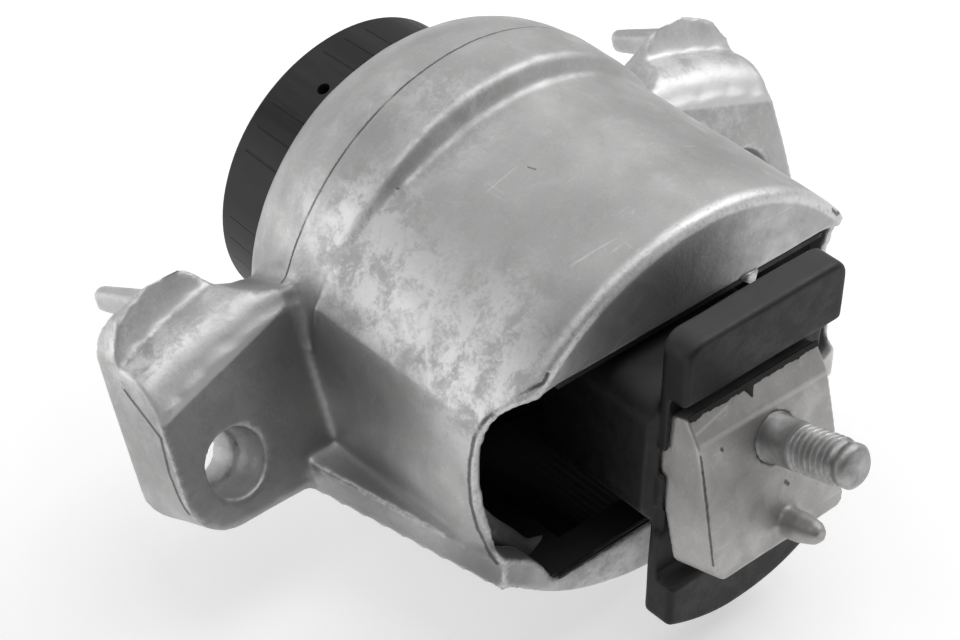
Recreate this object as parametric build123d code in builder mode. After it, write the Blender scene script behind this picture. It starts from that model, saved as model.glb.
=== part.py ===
from build123d import *
from math import asin, cos, degrees, radians, sin
import os

os.makedirs("parts", exist_ok=True)

# Millimetres. The origin is where the stud's axis leaves the seating face of the core.
# The stud points to -Y and up, the drum's axis runs along Y below the origin, the ears stand at +X and -X.

# Frame
axis_z = -5.6
stud_tilt = 16.0
ear_tilt = 25.0

# Housing: hood and drum
hood_front_y = 28.0
hood_arch_radius = 67.4
hood_arch_drop = 13.8
belly_arch_radius = 77.8
belly_arch_rise = 25.8
side_wall = 2.8
front_corner_radius = 12.0
hood_ridge_radius = 3.0
drum_wall = 9.0
drum_front_y = 96.0
drum_step_y = 89.5
drum_step_depth = 6.9
parting_y = 109.3
parting_step = 0.3
rolled_lip = 9.5
lip_overlap = 1.6

# Housing: opening and bores
opening_half_width = 57.2
opening_top = 27.3
opening_bottom = -34.5
opening_corner = 14.0
front_wall = 8.0
front_ledge = 3.0
pocket_depth = 42.0
seat_y = 93.0
bore_radius = 50.5

# Housing: lower side ribs
rib_bottom = -28.0
rib_height = 8.5
rib_front_x = 58.8
rib_rear_x = 69.5
rib_rear_y = 83.5
right_rib_corner = 7.0

# Housing: ears, measured on the ear's own front face, up the face and from the drum's axis
ear_face_y = 99.5
ear_face_rise = 7.0
ear_root_x = 40.0
ear_outer_x = 104.3
ear_thickness = 21.5
ear_bottom = -36.8
ear_corner_radius = 13.0
ridge_root = 6.5
ridge_middle_x = 78.0
ridge_middle = 5.6
ridge_end = -3.4
flange_thickness = 9.5
scoop_radius = 11.0
saddle_rise = 4.6
saddle_level = 22.0
saddle_level_rise = 0.6
saddle_climb = 8.0
saddle_climb_drop = 7.4
hump_x = 80.0
hump_height = 24.5
hump_width = 10.0
hump_slope = 0.45
hump_crown = 0.6
hump_back_drop = 9.0
shoulder_width = 4.0
shoulder_drop = 5.0
shoulder_end_drop = 13.0
bolt_hole_x = 87.9
bolt_hole_height = -21.5
bolt_hole_mouth_radius = 8.5
bolt_hole_throat_radius = 7.3
bolt_bore_radius = 6.5
lug_x = 87.7
lug_height = 17.2
lug_width = 7.0
lug_tall = 8.5
lug_corner = 3.2
lug_length = 18.0
lug_draft = 3.0

# Core and locating pin, measured on the seating face
core_middle_x = -2.4
core_width = 43.8
core_top = 15.6
core_bevel_start = 8.3
core_bevel_depth = 2.6
core_bottom = -27.8
core_block_depth = 15.0
core_corner = 3.6
neck_width = 42.0
neck_top = 16.5
neck_bottom = -13.0
neck_corner = 3.0
neck_end_y = 54.0
bulb_neck_radius = 12.0
bulb_radius = 22.0
bulb_shoulder_y = 74.0
bulb_end_y = 84.0
pin_drop = 23.0
pin_radius = 3.9
pin_tip_radius = 3.0
pin_point_radius = 1.6
pin_parallel = 5.0
pin_length = 11.2
pin_point = 1.8
pin_foot = 0.5

# Stud
stud_radius = 5.9
stud_root_radius = 6.4
stud_length = 25.3
stud_embed = 20.0
stud_groove_radius = 4.9
stud_groove = 1.0
stud_pilot = 3.4
stud_pilot_step = 0.45
stud_tip_step = 1.35
stud_chamfer = 0.9

# Snubber
snubber_front_y = 5.5
snubber_half_width = 26.4
foot_half_width = 25.2
snubber_plate_front_y = 11.0
snubber_back_y = 15.0
pad_top = 42.2
pad_lower = 24.0
foot_upper = -32.0
foot_radius = 51.0
pad_corner = 5.0
foot_corner = 2.2
pad_edge = 1.6
back_bevel = 1.2
pocket_heights = (-14.0, 4.0)
pocket_tall = 8.0
pocket_inset = 2.2
collar_wall = 4.0
collar_end_y = 50.0
collar_gap = 0.2

# Rubber spring and steel sleeve
lining = 1.4
lining_setback = 0.8
sleeve_wall = 2.0
sleeve_length = 16.5
spring_front_y = 60.0
spring_skirt = 3.5
nose_cover = 2.5

# Hydraulic unit
plate_thickness = 5.0
plate_gap = 0.2
track_radius = 42.0
track_width = 7.0
track_depth = 3.0
port_radius = 2.8
port_angle = 30.0
membrane_radius = 26.0
membrane_thickness = 2.6
membrane_play = 0.3
window_ring_radius = 14.0
window_length = 11.0
window_width = 6.0
window_count = 6
ring_thickness = 3.0
ring_clearance = 1.0
diaphragm_wall = 2.0
fold_gap = 5.0
fold_reach = 6.0
disc_gap = 1.5

# End cap
cap_flange_thickness = 4.5
cap_ledge = 8.2
cap_draft = 1.2
cap_rear_y = 155.4
cap_wall = 2.5
cap_edge = 1.2
vent_radius = 1.7
vent_angle = 116.0
vent_setback = 4.7

# How far a cut starts outside the solid
cut_past = 1.0

# Values that follow from the ones above
side_wall_x = opening_half_width + side_wall
drum_radius = bore_radius + drum_wall
drum_step_radius = drum_radius - drum_step_depth
front_bore_radius = bore_radius - front_ledge
cap_radius = bore_radius - cap_ledge
cap_rear_radius = cap_radius - cap_draft
stack_length = sleeve_length + 2 * plate_thickness + ring_thickness + cap_flange_thickness
lip_inner_y = seat_y + stack_length
rear_lip_y = lip_inner_y + rolled_lip
flange_depth = ear_thickness - flange_thickness
opening_middle = (opening_top + opening_bottom) / 2
opening_height = opening_top - opening_bottom
neck_height = neck_top - neck_bottom
neck_middle = (neck_top + neck_bottom) / 2
nose_length = bulb_end_y - bulb_shoulder_y
nose_radius = (nose_length**2 + bulb_radius**2) / (2 * nose_length)
nose_angle = degrees(asin(bulb_radius / nose_radius))
front_plate_y = seat_y + sleeve_length
rear_plate_y = front_plate_y + plate_thickness
ring_y = rear_plate_y + plate_thickness
cap_flange_y = ring_y + ring_thickness
cage_radius = bore_radius - plate_gap
ring_inner_radius = cap_radius - cap_wall - ring_clearance

axis_origin = (0, 0, axis_z)
drum_axis = Axis(axis_origin, (0, 1, 0))
half_section = Plane(origin=axis_origin, x_dir=(0, 1, 0), z_dir=(1, 0, 0))


def across(y):
    """Section plane across the drum's axis, seen from the stud."""
    return Plane(origin=(0, y, axis_z), x_dir=(1, 0, 0), z_dir=(0, -1, 0))


def tilted(y, z, tilt):
    """Plane whose normal points to -Y and up by the tilt."""
    return Plane(origin=(0, y, z), x_dir=(1, 0, 0), z_dir=(0, -cos(radians(tilt)), sin(radians(tilt))))


def along(plane, point):
    """Plane through a point of another plane, with x up that plane and y into the material behind it."""
    return Plane(point, x_dir=plane.y_dir, z_dir=-plane.x_dir)


ear_face = tilted(ear_face_y, axis_z + ear_face_rise, ear_tilt)
seat_face = tilted(0, 0, stud_tilt)


# Ear: bolt boss, mounting flange with its hump, scooped shoulder, locating lug and bolt hole
with BuildPart() as ear:
    hump_end_x = hump_x + hump_width
    with BuildSketch(ear_face) as ear_outline:
        with BuildLine():
            saddle = Spline(
                (ear_root_x, ridge_root + saddle_rise),
                (hump_x - saddle_level, ridge_root + saddle_rise + saddle_level_rise),
                (hump_x - saddle_climb, hump_height - saddle_climb_drop),
                (hump_x, hump_height),
                tangents=((1, 0), (1, hump_slope)),
            )
            crown_top = (hump_x + hump_width / 2, hump_height + hump_crown)
            crown = ThreePointArc(saddle @ 1, crown_top, (hump_end_x, hump_height))
            Polyline(
                crown @ 1,
                (ear_outer_x - shoulder_width, hump_height - shoulder_drop),
                (ear_outer_x, hump_height - shoulder_end_drop),
                (ear_outer_x, ear_bottom),
                (ear_root_x, ear_bottom),
                saddle @ 0,
            )
        make_face()
        lower_corner = ear_outline.vertices().group_by(Axis.X)[-1].sort_by(Axis.Y)[0]
        fillet(lower_corner, ear_corner_radius)
    extrude(amount=-ear_thickness)
    ridge = ThreePointArc(
        (ear_root_x, ridge_root), (ridge_middle_x, ridge_middle), (ear_outer_x, ridge_end), mode=Mode.PRIVATE
    )
    ridge_centre = ear_face.from_local_coords(ridge.arc_center)
    with BuildSketch(along(ear_face, ridge_centre)) as shoulder_section:
        with BuildLine():
            TangentArc(
                (ridge.radius + scoop_radius, flange_depth),
                (ridge.radius, flange_depth - scoop_radius),
                tangent=(0, -1),
            )
            Polyline(
                (ridge.radius, flange_depth - scoop_radius),
                (ridge.radius, 0),
                (0, 0),
                (0, ear_thickness),
                (2 * ridge.radius, ear_thickness),
                (2 * ridge.radius, flange_depth),
                (ridge.radius + scoop_radius, flange_depth),
            )
        make_face()
    revolve(axis=Axis(ridge_centre, ear_face.z_dir), mode=Mode.INTERSECT)
    # slope behind the hump
    with BuildSketch(along(ear_face, ear_face.from_local_coords((ear_root_x, 0, 0)))) as hump_back:
        with BuildLine():
            Polyline(
                (hump_height + cut_past, flange_depth),
                (hump_height + cut_past, ear_thickness),
                (hump_height - hump_back_drop, ear_thickness),
                close=True,
            )
        make_face()
    extrude(amount=-(ear_outer_x - ear_root_x), mode=Mode.SUBTRACT)
    # locating lug on the mounting face
    with BuildSketch(ear_face.offset(-flange_depth)) as lug_root:
        with Locations((lug_x, lug_height)):
            RectangleRounded(lug_width, lug_tall, lug_corner)
    extrude(amount=-flange_thickness)
    with BuildSketch(ear_face.offset(-ear_thickness)) as lug_outline:
        with Locations((lug_x, lug_height)):
            RectangleRounded(lug_width, lug_tall, lug_corner)
    extrude(amount=-lug_length, taper=lug_draft)
    # bolt hole: cast cone in front, machined bore through the flange
    hole_centre = ear_face.from_local_coords((bolt_hole_x, bolt_hole_height, 0))
    with BuildSketch(along(ear_face, hole_centre)) as hole_profile:
        with BuildLine():
            Polyline(
                (0, -cut_past),
                (bolt_hole_mouth_radius, -cut_past),
                (bolt_hole_mouth_radius, 0),
                (bolt_hole_throat_radius, flange_depth),
                (bolt_bore_radius, flange_depth),
                (bolt_bore_radius, ear_thickness + cut_past),
                (0, ear_thickness + cut_past),
                close=True,
            )
        make_face()
    revolve(axis=Axis(hole_centre, ear_face.z_dir), mode=Mode.SUBTRACT)

# Hood: flat sides between an arched roof and an arched belly
with BuildPart() as hood:
    with BuildSketch(across(hood_front_y)) as hood_outline:
        with Locations((0, -hood_arch_drop)):
            Circle(hood_arch_radius)
        with Locations((0, belly_arch_rise)):
            Circle(belly_arch_radius, mode=Mode.INTERSECT)
        Rectangle(2 * side_wall_x, 2 * (hood_arch_radius + belly_arch_radius), mode=Mode.INTERSECT)
    extrude(amount=-(drum_front_y - hood_front_y))
    fillet(hood.edges().filter_by(Axis.Z).group_by(Axis.Y)[0], front_corner_radius)
    fillet(hood.edges().filter_by(Axis.Y), hood_ridge_radius)

# Housing: one casting with the ears, side ribs, hood and drum
with BuildPart() as housing:
    add(ear.part)
    with BuildSketch(Plane.XY.offset(axis_z + rib_bottom)) as rib_outline:
        with BuildLine():
            Polyline(
                (ear_root_x, hood_front_y),
                (rib_front_x, hood_front_y),
                (rib_rear_x, rib_rear_y),
                (rib_rear_x, rib_rear_y + ear_thickness),
                (ear_root_x, rib_rear_y + ear_thickness),
                close=True,
            )
        make_face()
    extrude(amount=rib_height)
    mirror(about=Plane.YZ)
    # the right rib's front corner is rounded
    rib_corner = housing.edges().filter_by(Axis.Z).group_by(Axis.Y)[0].sort_by(Axis.X)[-1]
    fillet(rib_corner, right_rib_corner)
    add(hood.part)
    with BuildSketch(half_section) as drum_profile:
        with BuildLine():
            step = Spline((drum_step_y, drum_step_radius), (drum_front_y, drum_radius), tangents=((1, 0.15), (1, 0)))
            parting = Polyline(
                step @ 1,
                (parting_y, drum_radius),
                (parting_y, drum_radius - parting_step),
            )
            shoulder = TangentArc(parting @ 1, (rear_lip_y, cap_radius + lip_overlap), tangent=(1, 0))
            Polyline(shoulder @ 1, (rear_lip_y, 0), (drum_step_y, 0), step @ 0)
        make_face()
    revolve(axis=drum_axis)
    # opening at the front and the pocket behind it
    with BuildSketch(across(hood_front_y)) as opening:
        with Locations((0, opening_middle)):
            RectangleRounded(2 * opening_half_width, opening_height, opening_corner)
    extrude(amount=-pocket_depth, mode=Mode.SUBTRACT)
    # round bores for the rubber spring and the hydraulic unit
    with BuildSketch(across(hood_front_y + front_wall)) as front_bore:
        Circle(front_bore_radius)
    extrude(amount=-(seat_y - hood_front_y - front_wall), mode=Mode.SUBTRACT)
    with BuildSketch(across(seat_y)) as main_bore:
        Circle(bore_radius)
    extrude(amount=-stack_length, mode=Mode.SUBTRACT)
    with BuildSketch(across(lip_inner_y)) as mouth:
        Circle(cap_radius)
    extrude(amount=-rolled_lip, mode=Mode.SUBTRACT)

housing.part.label = "housing"
export_step(housing.part, "parts/housing.step")

# Core: tilted seating face, block, neck and the bulb inside the rubber, with the locating pin cast on
with BuildPart() as core:
    block_side = seat_face.from_local_coords((core_middle_x - core_width / 2, 0, 0))
    with BuildSketch(along(seat_face, block_side)) as block_profile:
        with BuildLine():
            Polyline(
                (core_bottom, 0),
                (core_bevel_start, 0),
                (core_top, core_bevel_depth),
                (core_top, core_block_depth),
                (core_bottom, core_block_depth),
                close=True,
            )
        make_face()
    extrude(amount=-core_width)
    fillet(core.edges().filter_by(Axis((0, 0, 0), seat_face.z_dir)).group_by(Axis.Z)[0], core_corner)
    # neck
    with BuildSketch(across(snubber_back_y)) as neck_section:
        with Locations((core_middle_x, neck_middle)):
            RectangleRounded(neck_width, neck_height, neck_corner)
    extrude(amount=snubber_back_y - snubber_front_y)
    extrude(neck_section.sketch, amount=-(neck_end_y - snubber_back_y))
    # bulb
    with BuildSketch(half_section) as bulb_profile:
        with BuildLine():
            flare = Polyline(
                (neck_end_y - neck_corner, 0),
                (neck_end_y - neck_corner, bulb_neck_radius),
                (neck_end_y, bulb_neck_radius),
                (bulb_shoulder_y, bulb_radius),
            )
            CenterArc((bulb_end_y - nose_radius, 0), nose_radius, 0, nose_angle)
            Line((bulb_end_y, 0), flare @ 0)
        make_face()
    revolve(axis=drum_axis)
    # locating pin
    pin_base = seat_face.from_local_coords((0, -pin_drop, 0))
    with BuildSketch(along(seat_face, pin_base)) as pin_profile:
        with BuildLine():
            Polyline(
                (0, pin_foot),
                (pin_radius + pin_foot, pin_foot),
                (pin_radius + pin_foot, 0),
                (pin_radius, -pin_foot),
                (pin_radius, -pin_parallel),
                (pin_tip_radius, pin_point - pin_length),
                (pin_point_radius, -pin_length),
                (0, -pin_length),
                close=True,
            )
        make_face()
    revolve(axis=Axis(pin_base, seat_face.z_dir))
    # bore for the stud
    with BuildSketch(seat_face) as stud_bore:
        Circle(stud_root_radius)
    extrude(amount=-stud_embed, mode=Mode.SUBTRACT)

core.part.label = "core"
export_step(core.part, "parts/core.step")

# Stud: thicker embedded root, one diameter up to the groove behind its pilot tip
with BuildPart() as stud:
    pilot_start = stud_length - stud_pilot
    with BuildSketch(along(seat_face, (0, 0, 0))) as stud_profile:
        with BuildLine():
            Polyline(
                (0, stud_embed),
                (stud_root_radius, stud_embed),
                (stud_root_radius, 0),
                (stud_radius, 0),
                (stud_radius, stud_groove - pilot_start),
                (stud_groove_radius, -pilot_start),
                (stud_groove_radius, -pilot_start - stud_groove / 2),
                (stud_radius - stud_pilot_step, -pilot_start - stud_groove),
                (stud_radius - stud_pilot_step, stud_chamfer - stud_length),
                (stud_radius - stud_tip_step, -stud_length),
                (0, -stud_length),
                close=True,
            )
        make_face()
    revolve(axis=Axis((0, 0, 0), seat_face.z_dir))

stud.part.label = "stud"
export_step(stud.part, "parts/stud.step")

# Snubber: rubber plate round the core with a pad above, a foot below and a collar along the neck
with BuildPart() as snubber:
    with BuildSketch(across(snubber_plate_front_y)) as plate_outline:
        foot_side = -((foot_radius**2 - foot_half_width**2) ** 0.5)
        with BuildLine():
            foot_arc = ThreePointArc((-foot_half_width, foot_side), (0, -foot_radius), (foot_half_width, foot_side))
            Polyline(
                foot_arc @ 1,
                (snubber_half_width, pad_top),
                (-snubber_half_width, pad_top),
                foot_arc @ 0,
            )
        make_face()
        fillet(plate_outline.vertices().group_by(Axis.Y)[-1], pad_corner)
        fillet(plate_outline.vertices().group_by(Axis.Y)[0], foot_corner)
    extrude(amount=-(snubber_back_y - snubber_plate_front_y))
    extrude(plate_outline.sketch, amount=snubber_plate_front_y - snubber_front_y)
    # face recessed between the pad and the foot
    with BuildSketch(across(snubber_plate_front_y)) as recess:
        with Locations((0, (pad_lower + foot_upper) / 2)):
            Rectangle(4 * snubber_half_width, pad_lower - foot_upper)
    extrude(amount=snubber_plate_front_y - snubber_front_y, mode=Mode.SUBTRACT)
    fillet(snubber.edges().group_by(Axis.Y)[0], pad_edge)
    chamfer(snubber.faces().sort_by(Axis.Y)[-1].outer_wire().edges(), back_bevel)
    # collar
    collar_outer = 2 * collar_wall + 2 * collar_gap
    with BuildSketch(across(snubber_back_y)) as collar:
        with Locations((core_middle_x, neck_middle)):
            RectangleRounded(neck_width + collar_outer, neck_height + collar_outer, neck_corner + collar_wall)
    extrude(amount=-(collar_end_y - snubber_back_y))
    # way through for the block and the neck
    with BuildSketch(across(snubber_front_y)) as passage:
        with Locations((core_middle_x, neck_middle)):
            RectangleRounded(neck_width + 2 * collar_gap, neck_height + 2 * collar_gap, neck_corner + collar_gap)
    extrude(amount=-(collar_end_y - snubber_front_y), mode=Mode.SUBTRACT)
    with BuildSketch(seat_face) as seat_window:
        with Locations((core_middle_x, (core_top + core_bottom) / 2)):
            Rectangle(core_width + 2 * collar_gap, core_top - core_bottom + 2 * collar_gap)
    extrude(amount=-(core_block_depth + collar_gap), mode=Mode.SUBTRACT)
    # side pockets
    for side in (-1, 1):
        for height in pocket_heights:
            with BuildSketch(across(snubber_plate_front_y)) as side_pocket:
                with Locations((side * snubber_half_width, height)):
                    Rectangle(2 * pocket_inset, pocket_tall)
            extrude(amount=-pocket_inset, mode=Mode.SUBTRACT)

snubber.part.label = "snubber"
export_step(snubber.part, "parts/snubber.step")

# Sleeve: steel ring that carries the rubber spring in the drum
with BuildPart() as sleeve:
    with BuildSketch(across(seat_y)) as sleeve_ring:
        Circle(bore_radius)
        Circle(bore_radius - sleeve_wall, mode=Mode.SUBTRACT)
    extrude(amount=-sleeve_length)

sleeve.part.label = "outer_sleeve"
export_step(sleeve.part, "parts/outer_sleeve.step")

# Rubber spring: cone between the core's bulb and the sleeve, with the lining of the hood
with BuildPart() as spring:
    with BuildSketch(across(hood_front_y + lining_setback)) as lining_outline:
        with Locations((0, opening_middle)):
            RectangleRounded(2 * opening_half_width, opening_height, opening_corner)
    extrude(amount=-(pocket_depth - lining_setback))
    with BuildSketch(across(hood_front_y + front_wall)) as bore_lining:
        Circle(front_bore_radius)
    extrude(amount=-(seat_y - hood_front_y - front_wall))
    with BuildSketch(across(hood_front_y)) as lining_inside:
        with Locations((0, opening_middle)):
            RectangleRounded(
                2 * (opening_half_width - lining), opening_height - 2 * lining, opening_corner - lining
            )
    extrude(amount=-(pocket_depth - lining), mode=Mode.SUBTRACT)
    with BuildSketch(across(hood_front_y + front_wall + lining)) as bore_inside:
        Circle(front_bore_radius - lining)
    extrude(amount=-(seat_y - hood_front_y - front_wall), mode=Mode.SUBTRACT)
    sleeve_inner = bore_radius - sleeve_wall
    flare_slope = (bulb_radius - bulb_neck_radius) / (bulb_shoulder_y - neck_end_y)
    spring_inner = bulb_neck_radius + flare_slope * (spring_front_y - neck_end_y)
    with BuildSketch(half_section) as cone_profile:
        with BuildLine():
            Polyline(
                (bulb_shoulder_y, bulb_radius),
                (spring_front_y, spring_inner),
                (spring_front_y, spring_inner + spring_skirt),
                (seat_y - 2 * spring_skirt, front_bore_radius - 2 * lining),
                (seat_y, front_bore_radius),
                (seat_y, sleeve_inner),
                (seat_y + sleeve_length, sleeve_inner),
                (seat_y + sleeve_length, sleeve_inner - spring_skirt / 2),
                (bulb_end_y + nose_cover, bulb_radius),
                (bulb_end_y + nose_cover, 0),
                (bulb_end_y, 0),
            )
            CenterArc((bulb_end_y - nose_radius, 0), nose_radius, 0, nose_angle)
        make_face()
    revolve(axis=drum_axis)

spring.part.label = "main_spring"
export_step(spring.part, "parts/main_spring.step")

# Channel cage: two plates with the inertia track between them and a window for the membrane
with BuildPart() as front_plate:
    with BuildSketch(across(front_plate_y)) as plate_disc:
        Circle(cage_radius)
    extrude(amount=-plate_thickness)
    with BuildSketch(across(rear_plate_y)) as track:
        Circle(track_radius + track_width / 2)
        Circle(track_radius - track_width / 2, mode=Mode.SUBTRACT)
    extrude(amount=track_depth, mode=Mode.SUBTRACT)
    with BuildSketch(across(rear_plate_y)) as membrane_seat:
        Circle(membrane_radius + membrane_play)
    extrude(amount=(membrane_thickness + membrane_play) / 2, mode=Mode.SUBTRACT)
    with BuildSketch(across(front_plate_y)) as windows:
        with PolarLocations(window_ring_radius, window_count):
            SlotOverall(window_length, window_width)
    extrude(amount=-plate_thickness, mode=Mode.SUBTRACT)
    with BuildSketch(across(front_plate_y)) as inlet:
        with PolarLocations(track_radius, 1):
            Circle(port_radius)
    extrude(amount=-plate_thickness, mode=Mode.SUBTRACT)

front_plate.part.label = "front_channel_plate"
export_step(front_plate.part, "parts/front_channel_plate.step")

with BuildPart() as rear_plate:
    with BuildSketch(across(rear_plate_y)) as plate_disc:
        Circle(cage_radius)
    extrude(amount=-plate_thickness)
    with BuildSketch(across(rear_plate_y)) as membrane_seat:
        Circle(membrane_radius + membrane_play)
    extrude(amount=-(membrane_thickness + membrane_play) / 2, mode=Mode.SUBTRACT)
    with BuildSketch(across(rear_plate_y)) as windows:
        with PolarLocations(window_ring_radius, window_count):
            SlotOverall(window_length, window_width)
    extrude(amount=-plate_thickness, mode=Mode.SUBTRACT)
    with BuildSketch(across(rear_plate_y)) as outlet:
        with PolarLocations(track_radius, 1, start_angle=port_angle):
            Circle(port_radius)
    extrude(amount=-plate_thickness, mode=Mode.SUBTRACT)

rear_plate.part.label = "rear_channel_plate"
export_step(rear_plate.part, "parts/rear_channel_plate.step")

with BuildPart() as membrane:
    with BuildSketch(across(rear_plate_y - membrane_thickness / 2)) as membrane_disc:
        Circle(membrane_radius)
    extrude(amount=-membrane_thickness)

membrane.part.label = "decoupler_membrane"
export_step(membrane.part, "parts/decoupler_membrane.step")

# Diaphragm: thin rubber bellows moulded to its steel ring
with BuildPart() as ring:
    with BuildSketch(across(ring_y)) as ring_outline:
        Circle(cage_radius)
        Circle(ring_inner_radius, mode=Mode.SUBTRACT)
    extrude(amount=-ring_thickness)

ring.part.label = "diaphragm_ring"
export_step(ring.part, "parts/diaphragm_ring.step")

with BuildPart() as diaphragm:
    fold_y = ring_y + fold_reach
    disc_y = ring_y + disc_gap
    outer_leg = ring_inner_radius - diaphragm_wall
    inner_leg = outer_leg - fold_gap
    disc_radius = inner_leg - diaphragm_wall
    fold_middle = (outer_leg + inner_leg) / 2
    with BuildSketch(half_section) as bellows_profile:
        with BuildLine():
            Line((ring_y, ring_inner_radius), (fold_y, ring_inner_radius))
            ThreePointArc(
                (fold_y, ring_inner_radius),
                (fold_y + fold_gap / 2 + diaphragm_wall, fold_middle),
                (fold_y, disc_radius),
            )
            Polyline(
                (fold_y, disc_radius),
                (disc_y + diaphragm_wall, disc_radius),
                (disc_y + diaphragm_wall, 0),
                (disc_y, 0),
                (disc_y, inner_leg),
                (fold_y, inner_leg),
            )
            ThreePointArc((fold_y, inner_leg), (fold_y + fold_gap / 2, fold_middle), (fold_y, outer_leg))
            Polyline((fold_y, outer_leg), (ring_y, outer_leg), (ring_y, ring_inner_radius))
        make_face()
    revolve(axis=drum_axis)

diaphragm.part.label = "diaphragm"
export_step(diaphragm.part, "parts/diaphragm.step")

# End cap: moulded cup with a clamped flange and a vent hole
with BuildPart() as cap:
    with BuildSketch(half_section) as cap_profile:
        with BuildLine():
            Polyline(
                (cap_flange_y, cap_radius - cap_wall),
                (cap_flange_y, cage_radius),
                (lip_inner_y, cage_radius),
                (lip_inner_y, cap_radius),
                (cap_rear_y - cap_edge, cap_rear_radius),
                (cap_rear_y, cap_rear_radius - cap_edge),
                (cap_rear_y, 0),
                (cap_rear_y - cap_wall, 0),
                (cap_rear_y - cap_wall, cap_rear_radius - cap_wall),
                close=True,
            )
        make_face()
    revolve(axis=drum_axis)
    # vent hole
    vent_y = rear_lip_y + vent_setback
    vent_direction = (cos(radians(vent_angle)), 0, sin(radians(vent_angle)))
    with BuildSketch(Plane(origin=(0, vent_y, axis_z), x_dir=(0, 1, 0), z_dir=vent_direction)) as vent:
        Circle(vent_radius)
    extrude(amount=cap_radius, mode=Mode.SUBTRACT)

cap.part.label = "end_cap"
export_step(cap.part, "parts/end_cap.step")
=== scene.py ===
import math
import random

import bmesh
import bpy
from mathutils import Matrix, Quaternion, Vector, noise


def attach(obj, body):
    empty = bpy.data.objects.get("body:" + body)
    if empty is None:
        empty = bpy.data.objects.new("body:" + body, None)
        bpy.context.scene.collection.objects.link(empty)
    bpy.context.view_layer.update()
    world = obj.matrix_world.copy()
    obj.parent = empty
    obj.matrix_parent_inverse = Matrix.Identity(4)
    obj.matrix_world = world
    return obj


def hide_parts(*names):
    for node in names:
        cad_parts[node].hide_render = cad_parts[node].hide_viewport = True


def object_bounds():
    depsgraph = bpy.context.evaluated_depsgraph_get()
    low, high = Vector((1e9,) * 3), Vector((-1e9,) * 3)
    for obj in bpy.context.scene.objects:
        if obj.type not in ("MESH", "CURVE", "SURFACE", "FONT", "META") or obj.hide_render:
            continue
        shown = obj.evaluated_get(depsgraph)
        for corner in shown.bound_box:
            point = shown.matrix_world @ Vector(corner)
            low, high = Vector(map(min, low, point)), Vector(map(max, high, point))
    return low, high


# Metres, in the row frame. The origin is where the stud's axis leaves the core's seating face.
MM = 0.001

# Height of the drum's axis, and how far the stud tilts up against it
AXIS_Z = -5.6 * MM
STUD_TILT = math.radians(16)

# Camera: place, direction, roll, lens and sensor width in mm, and nearest distance
CAMERA_PLACE = Vector((-413.57, -330.82, 454.17)) * MM
CAMERA_AZIMUTH = math.radians(43.77)
CAMERA_DROP = math.radians(38.82)
CAMERA_ROLL = math.radians(2.108)
CAMERA_LENS = 112.01
CAMERA_SENSOR = 36
CAMERA_NEAR = 0.01

# Parting line round the drum
PARTING_Y = 109.3 * MM

# Ridge between the hood's roof and its front, which gets a painted highlight: an arc round a line
# along Y
RIDGE_Z = -19.4 * MM
RIDGE_RADIUS = 65.6 * MM

# Opening: a round bar along X scoops the side walls' front edges, and narrows inwards
SCOOP_RADIUS = 35.7 * MM
SCOOP_TAPER = 4.5 * MM
SCOOP_Y = 3.0 * MM
SCOOP_Z = -1.5 * MM
SCOOP_INNER = 44 * MM
SCOOP_FULL = 56 * MM
SCOOP_OUTER = 70 * MM
SCOOP_STEPS = 96
LINING_SETBACK = 4.0 * MM

# Lower corners of the opening: the block that cuts a wall or its lining back there
CORNER_FRONT = 20 * MM
CORNER_FLOOR = -45 * MM
CORNER_TOP = -20 * MM
CORNER_SIDE = 70 * MM
CORNER_INNER = 50 * MM
CORNER_BACK = 28 * MM
LINING_INNER = 43 * MM
RIGHT_SETBACK = 3.2 * MM

# Web across a lower corner: its front, its back and its outline in mm
WEB_FRONT = 28.4 * MM
WEB_BACK = 36.0 * MM
WEB_OUTLINE = (
    (59.0, -23.0),
    (55.7, -25.0),
    (49.1, -29.1),
    (45.6, -33.2),
    (41.7, -39.4),
    (40.5, -43.6),
    (50.0, -38.8),
    (58.2, -32.6),
)

# Corner swell of the rubber behind a web: its ridge and its foot in mm
SWELL_RIDGE = (
    (57.4, 41.5, -9.0),
    (56.4, 40.2, -14.0),
    (52.6, 39.2, -20.4),
    (45.5, 39.5, -29.0),
    (39.5, 40.2, -36.3),
    (33.0, 40.6, -39.2),
)
SWELL_FOOT = (
    (58.0, 41.0, -12.5),
    (57.6, 38.6, -18.5),
    (54.4, 35.9, -27.6),
    (47.6, 35.9, -36.4),
    (42.0, 35.9, -40.2),
    (36.0, 35.9, -40.6),
)
SWELL_STEPS = 8
SWELL_DEPTH = 5 * MM
SWELL_BULGE = Vector((-0.5, 0.6, 0.5)) * MM

# Light
WORLD_COLOUR = (0.98, 0.99, 1.0, 1.0)
WORLD_LEVEL = 0.05
LAMP_SIZE = (0.8, 0.6)
LAMP_TARGET = (0, 0.06, 0)
# Soft boxes: name, place and power
LAMPS = (
    ("left_high", (-0.7, 0.1, 0.9), 1.5),
    ("top", (0.0, 0.05, 1.15), 3.2),
    ("back", (0.0, 1.0, 0.6), 2.1),
    ("right_back", (0.8, 0.6, 0.6), 1.4),
    ("right_high", (0.75, -0.1, 0.8), 5.0),
    ("right_front", (0.75, -0.8, 0.4), 1.0),
    ("back_left", (-0.8, 0.8, 0.15), 3.0),
)

# Floor: half its width, its distance below the part, its grey and its own light
FLOOR_REACH = 4.0
FLOOR_DROP = 0.2 * MM
FLOOR_LEVEL = 0.7
FLOOR_GLOW = 0.52

# Remeshed pieces: size of a voxel, steps of smoothing, and the gap that is welded
HOUSING_VOXEL = 1.15 * MM
CORE_VOXEL = 0.6 * MM
SNUBBER_VOXEL = 0.7 * MM
SOFTEN_STEPS = 2
WELD_GAP = 1e-6

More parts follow.
